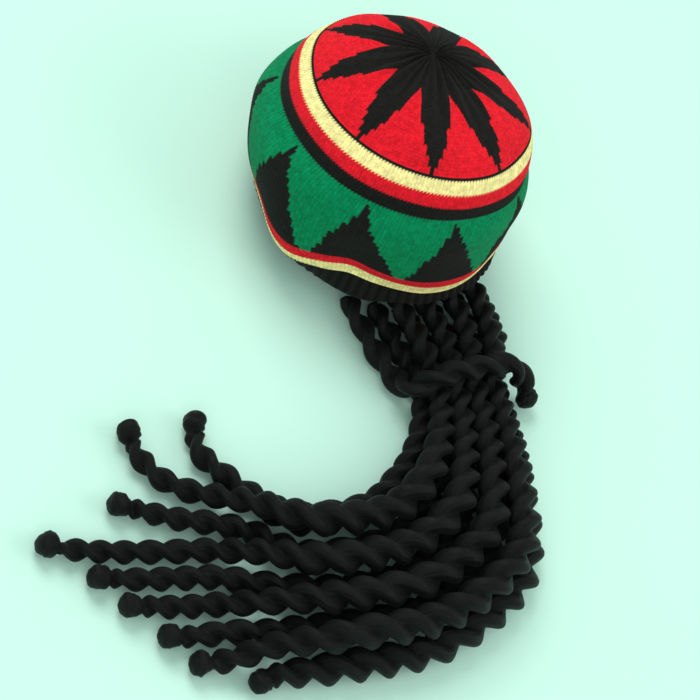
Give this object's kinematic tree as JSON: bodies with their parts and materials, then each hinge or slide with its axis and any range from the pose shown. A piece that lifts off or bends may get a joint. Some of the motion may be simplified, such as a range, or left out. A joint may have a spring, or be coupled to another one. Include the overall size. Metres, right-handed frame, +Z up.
{
  "type": "beanie with dreadlocks",
  "caption": "Roomy knitted tam hat with a ribbed hem, knitted colour bands and triangles, and twisted dreadlocks hanging from its hem.",
  "frame": {"origin": "on the surface under the middle of the hat's box, the locks left out", "axes": "+Z up from the surface that the hat and the locks lie on, +Y towards the side of the hem that lies flat, the locks leave the hem towards +X and -Y"},
  "size_m": [0.3736, 0.5185, 0.1712],
  "materials": {
    "knit": "matte jersey knit in red, yellow, green and black acrylic yarn",
    "rib": "matte black ribbed knit",
    "lock_yarn": "black twisted acrylic yarn, slightly silky"
  },
  "bodies": {
    "root": {"knit_body": "knit", "rib_band": "rib", "lock_01": "lock_yarn", "lock_02": "lock_yarn", "lock_03": "lock_yarn", "lock_04": "lock_yarn", "lock_05": "lock_yarn", "lock_06": "lock_yarn", "lock_07": "lock_yarn", "lock_08": "lock_yarn", "lock_09": "lock_yarn", "tie_lock": "lock_yarn"}
  },
  "joints": []
}
